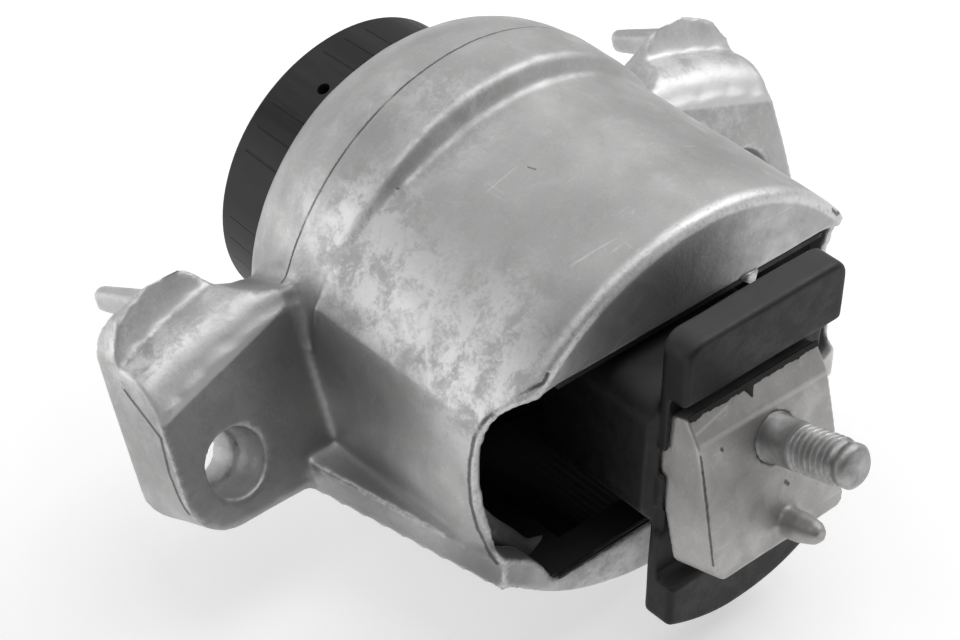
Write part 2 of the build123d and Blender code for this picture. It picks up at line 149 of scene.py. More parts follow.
# Unevenness of the surfaces: size of the noise, its depth and its seed
HOUSING_WAVES = ((17 * MM, 0.18 * MM, 3.0), (5 * MM, 0.07 * MM, 8.0))
CORE_WAVES = ((9 * MM, 0.14 * MM, 5.0),)
SNUBBER_WAVES = ((14 * MM, 0.15 * MM, 2.0),)
NOISE_PEAK = 0.9

# The rubber spring's edges stay sharp where its faces turn by more than this
SPRING_EDGE = math.radians(35)

# Stud: radii, lengths from the seating face, thread and end groove
STUD_RADIUS = 5.9 * MM
STUD_ROOT_RADIUS = 6.4 * MM
STUD_EMBED = 20.0 * MM
STUD_LENGTH = 25.3 * MM
STUD_STEPS = 72
THREAD_PITCH = 1.75 * MM
THREAD_DEPTH = 0.95 * MM
THREAD_START = 8.6 * MM
THREAD_END = 21.2 * MM
THREAD_FADE = 1.4 * MM
THREAD_ROWS = 10
THREAD_CREST = 0.14
THREAD_FLANK = 0.72
GROOVE_RADIUS = 4.75 * MM
GROOVE_END = THREAD_END + 1.3 * MM
# Places along the stud after the thread, each with its radius
STUD_NOSE = (
    (THREAD_END + 0.2 * MM, GROOVE_RADIUS),
    (GROOVE_END - 0.3 * MM, GROOVE_RADIUS),
    (GROOVE_END, STUD_RADIUS - 0.4 * MM),
    (STUD_LENGTH - 1.1 * MM, STUD_RADIUS - 0.4 * MM),
    (STUD_LENGTH - 0.25 * MM, STUD_RADIUS - 1.2 * MM),
    (STUD_LENGTH, STUD_RADIUS - 1.5 * MM),
)

# End cap: its radius, and its mould seams in groups of three
CAP_RADIUS = 42.3 * MM
SEAM_PITCH = math.radians(45)
SEAM_FIRST = math.radians(94.5)
SEAM_STEP = math.radians(9.5)
SEAM_END = 151.5 * MM

# Flash strips: how far they reach into their base and behind their path
STRIP_ROOT = 0.6 * MM
STRIP_BACK = 0.3 * MM
FLASH_SEED = 7
# Flash over the core's top bevel: its x in mm, its place on the seating face, the bevel's
# run out of the face and fall down it, its rows, and the row of its notch
BEVEL_START = -23.6
BEVEL_LENGTH = 42.8
BEVEL_UP = 15.5 * MM
BEVEL_OUT = -2.5 * MM
BEVEL_RUN = 2.6
BEVEL_FALL = 7.3
BEVEL_ROWS = 60
BEVEL_NOTCH = 27
BEVEL_THICKNESS = 0.35 * MM
# Flash along the opening's lower edge: its x, y and z in mm, and its rows
LIP_START = -40.5
LIP_LENGTH = 66.0
LIP_Y = 28.0
LIP_Z = -40.0
LIP_ROWS = 70
LIP_THICKNESS = 0.3 * MM

# Cast nib under the front crescent: its base, its middle and its tip in mm
NIB_BASE = ((14.5, 27.9, 22.6), (20.5, 27.9, 22.6), (20.5, 29.4, 22.6), (14.5, 29.4, 22.6))
NIB_MIDDLE = ((16.4, 28.0, 20.8), (20.3, 28.0, 20.4), (20.3, 29.1, 20.4), (16.4, 29.1, 20.8))
NIB_TIP = (20.2, 28.4, 17.8)

# Axes of the core's seating face: outwards and up the face
SEAT_OUT = Vector((0, -math.cos(STUD_TILT), math.sin(STUD_TILT)))
SEAT_UP = Vector((0, math.sin(STUD_TILT), math.cos(STUD_TILT)))

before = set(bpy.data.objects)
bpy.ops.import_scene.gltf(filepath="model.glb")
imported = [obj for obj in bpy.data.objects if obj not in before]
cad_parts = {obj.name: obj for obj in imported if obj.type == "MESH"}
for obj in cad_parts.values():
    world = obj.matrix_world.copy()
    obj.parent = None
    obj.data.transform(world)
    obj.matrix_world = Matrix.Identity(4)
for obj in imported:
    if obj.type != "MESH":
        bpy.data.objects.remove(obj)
cad_low, cad_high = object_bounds()


def mm(*values):
    """Lengths given in mm, in metres."""
    return tuple(value * MM for value in values)


# Node helpers
class Graph:
    """A material's node tree, with short calls for the nodes that it uses."""

    def __init__(self, name):
        self.material = bpy.data.materials.new(name)
        self.material.use_nodes = True
        self.tree = self.material.node_tree
        self.tree.nodes.clear()
        self.output = self.tree.nodes.new("ShaderNodeOutputMaterial")
        self.shader = self.tree.nodes.new("ShaderNodeBsdfPrincipled")
        self.link(self.shader.outputs[0], self.output.inputs["Surface"])
        self.place = self.tree.nodes.new("ShaderNodeTexCoord").outputs["Object"]

    def link(self, source, target):
        """Links an output to an input, or sets the input to a value."""
        if isinstance(source, (int, float, tuple)):
            target.default_value = source
        else:
            self.tree.links.new(source, target)

    def stretch(self, scale, turn=(0, 0, 0)):
        """The object's coordinates, turned and stretched."""
        node = self.tree.nodes.new("ShaderNodeMapping")
        node.inputs["Scale"].default_value = scale
        node.inputs["Rotation"].default_value = turn
        self.link(self.place, node.inputs["Vector"])
        return node.outputs["Vector"]

    def noise(self, scale, detail=4.0, rough=0.55, place=None, distortion=0.0):
        """Cloudy noise from 0 to 1."""
        node = self.tree.nodes.new("ShaderNodeTexNoise")
        node.inputs["Scale"].default_value = scale
        node.inputs["Detail"].default_value = detail
        node.inputs["Roughness"].default_value = rough
        node.inputs["Distortion"].default_value = distortion
        self.link(place or self.place, node.inputs["Vector"])
        return node.outputs["Fac"]

    def ramp(self, value, low, high, out_low=0.0, out_high=1.0):
        """Maps low to high onto out_low to out_high, clamped and smooth."""
        node = self.tree.nodes.new("ShaderNodeMapRange")
        node.interpolation_type = "SMOOTHSTEP"
        self.link(value, node.inputs["Value"])
        node.inputs["From Min"].default_value = low
        node.inputs["From Max"].default_value = high
        node.inputs["To Min"].default_value = out_low
        node.inputs["To Max"].default_value = out_high
        return node.outputs["Result"]

    def math(self, operation, a, b=0.0, c=0.0):
        """A math node's result."""
        node = self.tree.nodes.new("ShaderNodeMath")
        node.operation = operation
        self.link(a, node.inputs[0])
        self.link(b, node.inputs[1])
        self.link(c, node.inputs[2])
        return node.outputs[0]

    def product(self, *values):
        """The values multiplied with each other."""
        result = values[0]
        for value in values[1:]:
            result = self.math("MULTIPLY", result, value)
        return result

    def mix(self, factor, a, b):
        """Colour a where the factor is 0, and colour b where it is 1."""
        node = self.tree.nodes.new("ShaderNodeMix")
        node.data_type = "RGBA"
        self.link(factor, node.inputs["Factor"])
        self.link(a, node.inputs[6])
        self.link(b, node.inputs[7])
        return node.outputs[2]

    def spot(self, centre, radius, soft):
        """1 inside a ball round centre, 0 outside, with a soft edge."""
        node = self.tree.nodes.new("ShaderNodeVectorMath")
        node.operation = "DISTANCE"
        self.link(self.place, node.inputs[0])
        node.inputs[1].default_value = centre
        return self.ramp(node.outputs["Value"], radius - soft, radius + soft, 1.0, 0.0)

    def parts(self):
        """The object's x, y and z."""
        node = self.tree.nodes.new("ShaderNodeSeparateXYZ")
        self.link(self.place, node.inputs[0])
        return node.outputs

    def from_axis(self, height):
        """Distance from a line along Y at the given height."""
        x, _, z = self.parts()
        up = self.math("SUBTRACT", z, height)
        squares = self.math("ADD", self.product(x, x), self.product(up, up))
        return self.math("SQRT", squares)

    def mirrored(self):
        """The object's coordinates with both sides folded onto the right one."""
        x, y, z = self.parts()
        node = self.tree.nodes.new("ShaderNodeCombineXYZ")
        for value, socket in zip((self.math("ABSOLUTE", x), y, z), node.inputs):
            self.link(value, socket)
        return node.outputs[0]

    def line(self, start, end, width, wobble=None, place=None):
        """1 on a straight line between two points, fading to 0 at its width."""
        start, end = Vector(start), Vector(end)
        reach = end - start
        offset = self.vector("SUBTRACT", place or self.place, tuple(start))
        reached = self.vector("DOT_PRODUCT", offset, tuple(reach), "Value")
        along = self.math("DIVIDE", reached, reach.length_squared)
        clamped = self.math("MINIMUM", self.math("MAXIMUM", along, 0.0), 1.0)
        scaled = self.tree.nodes.new("ShaderNodeVectorMath")
        scaled.operation = "SCALE"
        scaled.inputs[0].default_value = reach
        self.link(clamped, scaled.inputs["Scale"])
        away = self.vector("SUBTRACT", offset, scaled.outputs[0])
        away = self.vector("LENGTH", away, output="Value")
        if wobble is not None:
            away = self.math("ADD", away, wobble)
        return self.ramp(away, width * 0.3, width, 1.0, 0.0)

    def vector(self, operation, a, b=None, output="Vector"):
        """A vector math node's result."""
        node = self.tree.nodes.new("ShaderNodeVectorMath")
        node.operation = operation
        self.link(a, node.inputs[0])
        if b is not None:
            self.link(b, node.inputs[1])
        return node.outputs[output]

    def highest(self, masks):
        """The highest of the masks at each place."""
        result = masks[0]
        for mask in masks[1:]:
            result = self.math("MAXIMUM", result, mask)
        return result

    def facing(self):
        """How far the surface faces up, from -1 to 1."""
        return self.normal()[2]

    def fronting(self):
        """How far the surface faces the front, from -1 to 1."""
        return self.product(self.normal()[1], -1.0)

    def normal(self):
        """The surface normal's x, y and z."""
        node = self.tree.nodes.new("ShaderNodeSeparateXYZ")
        self.link(self.tree.nodes.new("ShaderNodeNewGeometry").outputs["Normal"], node.inputs[0])
        return node.outputs

    def pointiness(self):
        """About 0.5 on flat ground, higher on edges and lower in hollows."""
        return self.tree.nodes.new("ShaderNodeNewGeometry").outputs["Pointiness"]

    def bump(self, height, distance, strength=1.0, under=None):
        """A normal bent by a height, over another bump if one is given."""
        node = self.tree.nodes.new("ShaderNodeBump")
        node.inputs["Strength"].default_value = strength
        node.inputs["Distance"].default_value = distance
        self.link(height, node.inputs["Height"])
        if under is not None:
            self.link(under, node.inputs["Normal"])
        return node.outputs["Normal"]

    def set(self, name, value):
        """Links or sets one input of the shader."""
        self.link(value, self.shader.inputs[name])


def grey(level, warm=0.0):
    """A grey with a little warmth, as a colour."""
    return (level * (1 + warm), level, level * (1 - warm), 1.0)


def brightened(level, gain=1.5):
    """Lighter grey of cast metal, for wear and for painted highlights."""
    return grey(min(level * gain, 0.93))


def cast_metal(
    name, level, warm, dirt_and_shade, stains_and_shade, bright, dark, wear_and_highlights=(), grain=1.0, edges=0.8, groove=()
):
    """Blasted die casting: cloudy grey with fine pits, wear, scratch marks and a trace of grime;
    painted shade darkens its hollows and some stained patches, and painted highlights brighten
    its edges, some patches of wear, the ears' scoops and the hood's ridge, with painted shade in
    a band on the left ear.
    """
    g = Graph(name)
    clouds = g.noise(38, 2, 0.6)
    blotch = g.noise(150, 4, 0.65, distortion=0.4)
    speck = g.noise(900, 4, 0.75)
    wobble = g.product(g.math("SUBTRACT", speck, 0.5), 0.5 * MM)
    colour = g.mix(g.ramp(clouds, 0.35, 0.68), grey(level * 0.88, warm), grey(level * 1.06, warm))
    colour = g.mix(g.ramp(blotch, 0.5, 0.72, 0.0, 0.4), colour, grey(level * 1.2, warm * 0.5))
    grime = g.ramp(blotch, 0.25, 0.42, 0.35 * dirt_and_shade, 0.0)
    colour = g.mix(grime, colour, grey(level * 0.55, warm * 1.5))
    colour = g.mix(g.ramp(speck, 0.56, 0.78, 0.0, 0.55), colour, grey(level * 1.35))
    colour = g.mix(g.ramp(speck, 0.2, 0.4, 0.6 * dirt_and_shade, 0.0), colour, grey(level * 0.5, warm))
    colour = g.mix(handling_marks(g, clouds), colour, grey(level * 1.4))
    # Patches of wear, some of them painted highlights
    for centre, radius, soft, strength in wear_and_highlights:
        mottle = g.math("ADD", blotch, g.product(speck, 0.5))
        cloudy = g.ramp(mottle, 0.62, 0.86, 0.1 * strength, strength)
        colour = g.mix(g.product(g.spot(centre, radius, soft), cloudy), colour, brightened(level))
    # Stains, some of them painted shade
    for centre, radius, soft, strength in stains_and_shade:
        cloudy = g.ramp(clouds, 0.3, 0.6, 0.75 * strength, strength)
        stain_and_shade = g.product(g.spot(centre, radius, soft), cloudy)
        colour = g.mix(stain_and_shade, colour, grey(level * 0.3, warm))
    # Edges: wear and a painted highlight
    edge = g.product(g.ramp(g.pointiness(), 0.512, 0.55, 0.0, edges), g.ramp(speck, 0.3, 0.55))
    colour = g.mix(edge, colour, grey(level * 1.4))
    # Hollows: painted shade
    hollow_shade = g.ramp(g.pointiness(), 0.44, 0.492, 0.6 * dirt_and_shade, 0.0)
    colour = g.mix(hollow_shade, colour, grey(level * 0.45, warm))
    # Painted light and shade on the ears' scoops, and a painted highlight on the hood's ridge
    if groove:
        colour = ear_scoop_light_and_shade(g, colour, level, warm, wobble)
        colour = g.mix(ridge_highlight(g, speck), colour, brightened(level))
    # Bright lines: scratches, and painted highlights on the core's bevel
    bright_lines = g.highest([g.line(*mark, wobble) for mark in bright])
    colour = g.mix(g.product(bright_lines, 0.45), colour, brightened(level))
    lines = g.highest(dark_lines(g, dark, groove, wobble))
    colour = g.mix(g.product(lines, 0.85), colour, grey(level * 0.16, warm))
    height = g.math("ADD", g.product(speck, 0.4), g.product(blotch, 0.6))
    height = g.math("SUBTRACT", height, lines)
    dull = g.math("ADD", blotch, g.product(speck, 0.6))
    g.set("Base Color", colour)
    g.set("Metallic", 0.72)
    g.set("Roughness", g.ramp(dull, 0.55, 1.05, 0.58, 0.42))
    g.set("Normal", g.bump(height, 0.3 * MM * grain, 0.7))
    return g.material


def handling_marks(g, clouds):
    """Mask of fine handling marks, most of them across the hood."""
    across = g.noise(1.0, 2, 0.6, place=g.stretch((36, 1500, 1500)))
    slanted = g.noise(1.0, 2, 0.6, place=g.stretch((1300, 60, 1300), (0.3, 0.2, 0.7)))
    across = g.ramp(across, 0.63, 0.74, 0.0, 0.6)
    slanted = g.ramp(slanted, 0.66, 0.76, 0.0, 0.45)
    return g.product(g.math("MAXIMUM", across, slanted), g.ramp(clouds, 0.4, 0.6, 0.25, 1.0))


def ear_scoop_light_and_shade(g, colour, level, warm, wobble):
    """The colour with painted highlights on the ears' scoops and painted shade in a band beneath
    the left one's scoop.
    """
    x, _, z = g.parts()
    side = g.math("ABSOLUTE", x)
    tilted = g.math("ADD", z, g.product(side, SCOOP_LINE_FALL))
    off_line = g.math("ADD", g.math("SUBTRACT", tilted, SCOOP_LINE_HEIGHT), wobble)
    on_ear = g.product(g.ramp(side, 60.5 * MM, 62.5 * MM), g.ramp(g.fronting(), 0.35, 0.6))
    # Painted shade in a band on the left ear
    below = g.product(on_ear, g.ramp(off_line, -0.5 * MM, 0.5 * MM, 0.5, 0.0))
    below = g.product(below, g.ramp(x, -1 * MM, 1 * MM, 1.0, 0.0))
    # Painted highlight on the ear's scoop
    above = g.product(on_ear, g.ramp(off_line, -0.5 * MM, 0.5 * MM, 0.0, 0.75))
    above = g.product(above, g.ramp(off_line, 9 * MM, 14 * MM, 1.0, 0.2))
    colour = g.mix(below, colour, grey(level * 0.35, warm))
    return g.mix(above, colour, brightened(level, 1.55))


def ridge_highlight(g, speck):
    """Mask of the painted highlight on the ridge between the hood's roof and its front."""
    _, y, z = g.parts()
    off_ridge = g.math("ABSOLUTE", g.math("SUBTRACT", g.from_axis(RIDGE_Z), RIDGE_RADIUS))
    return g.product(
        g.ramp(off_ridge, 0.9 * MM, 2.0 * MM, 1.0, 0.0),
        g.ramp(y, 30.5 * MM, 32.5 * MM, 1.0, 0.0),
        g.ramp(z, 20 * MM, 26 * MM, 0.0, 1.0),
        g.ramp(speck, 0.3, 0.55, 0.35, 0.95),
    )


def dark_lines(g, dark, groove, wobble):
    """Masks of the dark marks, and of the grooves and the parting line where there are any."""
    marks = [g.line(*mark, wobble) for mark in dark]
    if groove:
        folded = g.mirrored()
        for path in groove:
            marks += [g.line(*ends, GROOVE_LINE, wobble, folded) for ends in zip(path, path[1:])]
        marks.append(parting_line(g, wobble))
    return marks


def parting_line(g, wobble):
    """Mask of the die's parting line round the drum."""
    _, y, _ = g.parts()
    off = g.math("ABSOLUTE", g.math("ADD", g.math("SUBTRACT", y, PARTING_Y), wobble))
    on_line = g.ramp(off, 0.12 * MM, 0.42 * MM, 1.0, 0.0)
    on_drum = g.ramp(g.from_axis(AXIS_Z), 60.2 * MM, 61.0 * MM, 1.0, 0.0)
    broken = g.ramp(g.noise(55, 3, 0.6), 0.36, 0.5, 0.25, 1.0)
    return g.product(on_line, on_drum, broken)


def rubber(name, level, dust_and_sheen, rough=0.42):
    """Moulded rubber: near black, with faint chalky dusting and a fine leathery skin; painted
    highlights on its edges, painted shade where its faces turn down or to the side, and painted
    light where they turn up.
    """
    g = Graph(name)
    clouds = g.noise(45, 5, 0.6)
    dusting = g.noise(260, 6, 0.7)
    speck = g.noise(1800, 3, 0.7)
    colour = g.mix(g.ramp(clouds, 0.35, 0.7), grey(level * 0.8), grey(level * 1.25))
    colour = g.mix(g.ramp(dusting, 0.52, 0.75, 0.0, dust_and_sheen), colour, grey(level * 3.2, 0.01))
    colour = g.mix(g.ramp(speck, 0.68, 0.8, 0.0, 0.5 * dust_and_sheen), colour, grey(level * 6.0))
    # Edges lighter: dusting and a painted highlight
    edge = g.ramp(g.pointiness(), 0.52, 0.58, 0.0, 0.5 * dust_and_sheen)
    colour = g.mix(edge, colour, grey(level * 3.0))
    # painted shade where the faces turn down or to the side, and chalky dusting with painted
    # light where they turn up
    up = g.facing()
    colour = g.mix(g.ramp(up, -0.1, 0.25, 0.75, 0.0), colour, grey(level * 0.15))
    colour = g.mix(g.ramp(up, 0.4, 0.95, 0.0, 0.5), colour, grey(level * 4.0))
    g.set("Base Color", colour)
    g.set("Roughness", g.ramp(dusting, 0.3, 0.7, rough, rough + 0.16))
    g.set("Specular IOR Level", 0.32)
    skin = g.bump(g.noise(1400, 4, 0.6), 0.05 * MM, 0.6)
    g.set("Normal", g.bump(dusting, 0.1 * MM, 0.4, under=skin))
    return g.material


def moulded_plastic(name, level, seams=False):
    """Glass-filled moulded plastic with faint axial flow marks."""
    g = Graph(name)
    flow = g.noise(1.0, 5, 0.6, place=g.stretch((260, 18, 260)))
    speck = g.noise(1500, 3, 0.7)
    colour = g.mix(g.ramp(flow, 0.35, 0.68), grey(level * 0.7), grey(level * 1.5))
    colour = g.mix(g.ramp(speck, 0.62, 0.8, 0.0, 0.3), colour, grey(level * 3))
    g.set("Roughness", g.ramp(flow, 0.3, 0.7, 0.42, 0.58))
    g.set("Specular IOR Level", 0.3)
    if seams:
        line = seam_lines(g)
        colour = g.mix(g.product(line, 0.85), colour, grey(level * 0.1))
        height = g.math("SUBTRACT", g.product(speck, 0.1), line)
        g.set("Base Color", colour)
        g.set("Normal", g.bump(height, 0.3 * MM, 0.8))
    else:
        g.set("Base Color", colour)
        g.set("Normal", g.bump(speck, 0.03 * MM, 0.5))
    return g.material


def seam_lines(g):
    """Mask of the fine mould seams along the cap."""
    x, y, z = g.parts()
    angle = g.math("ARCTAN2", g.math("SUBTRACT", z, AXIS_Z), x)
    half = SEAM_PITCH / 2
    group = g.math("WRAP", g.math("SUBTRACT", angle, SEAM_FIRST), half, -half)
    offs = [g.math("ABSOLUTE", g.math("ADD", group, k * SEAM_STEP)) for k in (-1, 0, 1)]
    off = g.math("MINIMUM", g.math("MINIMUM", offs[0], offs[1]), offs[2])
    line = g.ramp(g.product(off, CAP_RADIUS), 0.12 * MM, 0.4 * MM, 1.0, 0.0)
    inside = g.ramp(y, SEAM_END - 1.5 * MM, SEAM_END, 1.0, 0.0)
    from_axis = g.from_axis(AXIS_Z)
    outside = g.ramp(from_axis, CAP_RADIUS - 2.2 * MM, CAP_RADIUS - 1.6 * MM, 0.0, 1.0)
    return g.product(line, inside, outside)


def plain_steel(name, level, rough=0.36, metallic=0.9, shank=0.0):
    """Turned or rolled steel with fine marks and dull patches."""
    g = Graph(name)
    dull = g.noise(160, 6, 0.65)
    speck = g.noise(1600, 4, 0.7)
    colour = g.mix(g.ramp(dull, 0.35, 0.7), grey(level * 0.7, 0.01), grey(level * 1.2, 0.0))
    colour = g.mix(g.ramp(speck, 0.6, 0.78, 0.0, 0.5), colour, grey(level * 1.6))
    # Hollows, such as the thread's roots: painted shade
    hollow_shade = g.ramp(g.pointiness(), 0.42, 0.49, 0.75, 0.0)
    colour = g.mix(hollow_shade, colour, grey(level * 0.3, 0.02))
    # smooth dark shank between the seating face and the thread
    if shank:
        along = g.vector("DOT_PRODUCT", g.place, tuple(SEAT_OUT), "Value")
        on_shank = g.ramp(along, shank - 1 * MM, shank, 0.5, 0.0)
        colour = g.mix(on_shank, colour, grey(level * 0.35, 0.01))
    g.set("Base Color", colour)
    g.set("Metallic", metallic)
    g.set("Roughness", g.ramp(dull, 0.3, 0.7, rough + 0.16, rough))
    g.set("Normal", g.bump(speck, 0.04 * MM, 0.6))
    return g.material


# Mesh helpers
def add_piece(name, mesh, material, replaced=None):
    """Links a mesh as a piece that rides on the only body."""
    piece = bpy.data.objects.new(name, mesh)
    bpy.context.scene.collection.objects.link(piece)
    piece.data.materials.clear()
    piece.data.materials.append(material)
    for face in piece.data.polygons:
        face.use_smooth = True
    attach(piece, "root")
    if replaced:
        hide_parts(replaced)
    return piece


def welded(node):
    """A copy of a node's mesh, with its faces joined at their edges."""
    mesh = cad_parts[node].data.copy()
    shape = bmesh.new()
    shape.from_mesh(mesh)
    bmesh.ops.remove_doubles(shape, verts=shape.verts, dist=WELD_GAP)
    shape.to_mesh(mesh)
    shape.free()
    mesh.materials.clear()
    return mesh


def evaluated(mesh, prepare):
    """The mesh after the modifiers that prepare adds to it."""
    helper = bpy.data.objects.new("helper", mesh)
    bpy.context.scene.collection.objects.link(helper)
    prepare(helper)
    view = bpy.context.evaluated_depsgraph_get()
    result = bpy.data.meshes.new_from_object(helper.evaluated_get(view))
    bpy.data.objects.remove(helper)
    return result


def remeshed(mesh, voxel):
    """The same form made of even small faces, with its edges softened."""

    def prepare(helper):
        remesh = helper.modifiers.new("remesh", "REMESH")
        remesh.mode = "VOXEL"
        remesh.voxel_size = voxel
        soften = helper.modifiers.new("soften", "SMOOTH")
        soften.factor = 0.5
        soften.iterations = SOFTEN_STEPS

    return evaluated(mesh, prepare)


def cut(mesh, cutters):
    """The mesh with closed meshes taken away from it."""
    for cutter in cutters:
        tool = bpy.data.objects.new("cutter", cutter)
        bpy.context.scene.collection.objects.link(tool)

        def prepare(helper):
            away = helper.modifiers.new("cut", "BOOLEAN")
            away.operation = "DIFFERENCE"
            away.solver = "EXACT"
            away.object = tool

        mesh = evaluated(mesh, prepare)
        bpy.data.objects.remove(tool)
    return mesh


def joined(mesh, extras):
    """One mesh that holds the mesh and the extra closed meshes."""
    shape = bmesh.new()
    for part in [mesh] + extras:
        shape.from_mesh(part)
    result = bpy.data.meshes.new("joined")
    shape.to_mesh(result)
    shape.free()
    return result


def closed(name, shape):
    """A mesh made from a bmesh, with its faces turned outwards."""
    bmesh.ops.recalc_face_normals(shape, faces=shape.faces)
    mesh = bpy.data.meshes.new(name)
    shape.to_mesh(mesh)
    shape.free()
    return mesh


def lofted(name, rows):
    """A closed mesh through rows of four points each."""
    shape = bmesh.new()
    rows = [[shape.verts.new(point) for point in row] for row in rows]
    for low, high in zip(rows, rows[1:]):
        for k in range(4):
            shape.faces.new((low[k], low[(k + 1) % 4], high[(k + 1) % 4], high[k]))
    shape.faces.new(list(reversed(rows[0])))
    shape.faces.new(rows[-1])
    return closed(name, shape)


def scoop(side, radius):
    """A round bar across a side wall, which scoops the wall's front edge."""
    sections = [(SCOOP_INNER, radius - SCOOP_TAPER), (SCOOP_FULL, radius), (SCOOP_OUTER, radius)]
    mesh = lathe("scoop", sections, SCOOP_STEPS, lambda section, angle: section[1])
    mesh.transform(Matrix.Rotation(math.pi / 2, 4, "Y"))
    if side < 0:
        mesh.transform(Matrix.Rotation(math.pi, 4, "Z"))
    mesh.transform(Matrix.Translation((0, SCOOP_Y, SCOOP_Z)))
    return mesh


def lower_corner(side, inner, back):
    """A block in front of a lower corner of the opening."""
    shape = bmesh.new()
    bmesh.ops.create_cube(shape, size=1.0)
    low = Vector((inner, CORNER_FRONT, CORNER_FLOOR))
    high = Vector((CORNER_SIDE, back, CORNER_TOP))
    for vert in shape.verts:
        vert.co = Vector(low[k] if vert.co[k] < 0 else high[k] for k in range(3))
        vert.co.x *= side
    return closed("lower_corner", shape)


def smooth_path(points):
    """Points on a smooth curve through the given points."""
    points = [Vector(mm(*point)) for point in points]
    points = [points[0] * 2 - points[1]] + points + [points[-1] * 2 - points[-2]]
    path = []
    for k in range(len(points) - 3):
        a, b, c, d = points[k:k + 4]
        for j in range(SWELL_STEPS):
            t = j / SWELL_STEPS
            first = (c - a) * 0.5 * t
            second = (a * 2 - b * 5 + c * 4 - d) * 0.5 * t**2
            third = (b * 3 - a - c * 3 + d) * 0.5 * t**3
            path.append(b + first + second + third)
    return path + [points[-2]]


def corner_swell(side):
    """Rubber swell in a lower corner of the opening, behind the web."""
    rows = []
    for ridge, foot in zip(smooth_path(SWELL_RIDGE), smooth_path(SWELL_FOOT)):
        behind = Vector((foot.x, ridge.y + SWELL_DEPTH, foot.z))
        middle = (ridge + foot) / 2 + SWELL_BULGE
        row = [(side * point.x, point.y, point.z) for point in (ridge, middle, foot, behind)]
        rows.append(row)
    return lofted("corner_swell", rows)


def corner_web(side):
    """Cast web across a lower corner of the opening."""
    near = WEB_FRONT + (RIGHT_SETBACK if side > 0 else 0.0)
    shape = bmesh.new()
    front = [shape.verts.new((side * x * MM, near, z * MM)) for x, z in WEB_OUTLINE]
    back = [shape.verts.new((side * x * MM, WEB_BACK, z * MM)) for x, z in WEB_OUTLINE]
    count = len(front)
    for k in range(count):
        after = (k + 1) % count
        shape.faces.new((front[k], front[after], back[after], back[k]))
    shape.faces.new(front)
    shape.faces.new(list(reversed(back)))
    return closed("corner_web", shape)


def uneven(mesh, size, depth, seed):
    """Moves a mesh's points inwards along their normals by a cloudy noise."""
    shift = Vector((seed, 0, 0))
    points = [v.co.copy() for v in mesh.vertices]
    normals = [v.normal.copy() for v in mesh.vertices]
    flat = []
    for point, normal in zip(points, normals):
        level = noise.noise(point / size + shift) - NOISE_PEAK
        flat.extend(point + normal * level * depth)
    mesh.vertices.foreach_set("co", flat)
    mesh.update()


def lathe(name, sections, steps, radius_at):
    """A closed mesh of rings of points round Z. A section starts with its place along Z,
    and radius_at gives the radius for a section and an angle."""
    shape = bmesh.new()
    rings = []
    for section in sections:
        ring = []
        for k in range(steps):
            angle = 2 * math.pi * k / steps
            radius = radius_at(section, angle)
            spot = (radius * math.cos(angle), radius * math.sin(angle), section[0])
            ring.append(shape.verts.new(spot))
        rings.append(ring)
    for low, high in zip(rings, rings[1:]):
        for k in range(steps):
            after = (k + 1) % steps
            shape.faces.new((low[k], low[after], high[after], high[k]))
    shape.faces.new(list(reversed(rings[0])))
    shape.faces.new(rings[-1])
    mesh = bpy.data.meshes.new(name)
    shape.to_mesh(mesh)
    shape.free()
    return mesh


# Materials
# Patches of wear, some of them painted highlights: centre, radius, softness and strength
WEAR_AND_HIGHLIGHTS = (
    (mm(-50, 45, 22), 19 * MM, 11 * MM, 0.9),
    (mm(-52, 74, 24), 15 * MM, 9 * MM, 0.85),
    (mm(-50, 93, 28), 13 * MM, 8 * MM, 0.75),
    (mm(-40, 94, 38), 10 * MM, 5 * MM, 0.6),
    (mm(-20, 94, 50), 14 * MM, 5 * MM, 0.5),
    (mm(-46, 30, 24), 11 * MM, 6 * MM, 0.9),
    (mm(-86, 100, 12), 22 * MM, 12 * MM, 0.45),
    (mm(-96, 112, 8), 10 * MM, 6 * MM, 0.9),
    (mm(-46, 96, 32), 6 * MM, 5 * MM, 0.9),
    (mm(-26, 28, -48), 14 * MM, 8 * MM, 0.6),
    (mm(86, 100, 12), 22 * MM, 12 * MM, 0.45),
)
# Grimy patches, some of them painted shade on the left side wall and by the left ear: centre,
# radius, softness and strength
STAINS_AND_SHADE = (
    (mm(-38, 27, 28), 13 * MM, 11 * MM, 0.65),
    (mm(-14, 26, 36), 9 * MM, 9 * MM, 0.25),
    (mm(-67, 98, 0), 12 * MM, 10 * MM, 0.5),
    (mm(-106, 98, -10), 16 * MM, 12 * MM, 0.35),
    (mm(-66, 52, -34), 12 * MM, 10 * MM, 0.4),
    (mm(-59, 88, 4), 13 * MM, 11 * MM, 0.6),
    (mm(-60, 68, -2), 14 * MM, 12 * MM, 0.55),
    (mm(-67, 70, -26), 11 * MM, 9 * MM, 0.6),
    (mm(-60, 34, -32), 10 * MM, 8 * MM, 0.85),
    (mm(-57, 121, 4), 10 * MM, 8 * MM, 0.5),
    (mm(26, 50, 44), 18 * MM, 14 * MM, 0.25),
    (mm(-32, 104, 47), 10 * MM, 9 * MM, 0.25),
)
CORE_STAINS = (
    (mm(-16, -1, -3), 9 * MM, 8 * MM, 0.45),
    (mm(-4, 0, -6), 10 * MM, 8 * MM, 0.35),
)
# Groove outside the opening's rim, on the right side; the left one mirrors it
GROOVE_LINE = 0.8 * MM
RIM_GROOVE = (
    mm(47.2, 29.2, 26.6),
    mm(48.8, 28.8, 24.8),
    mm(52.0, 30.3, 23.4),
    mm(55.6, 33.4, 20.2),
    mm(58.4, 37.0, 14.0),
    mm(59.6, 39.2, 7.5),
    mm(60.0, 40.2, 0.0),
    mm(60.0, 40.2, -6.0),
    mm(60.0, 39.2, -12.5),
    mm(59.6, 37.0, -19.0),
    mm(59.0, 34.4, -23.4),
    mm(59.0, 30.6, -25.6),
)
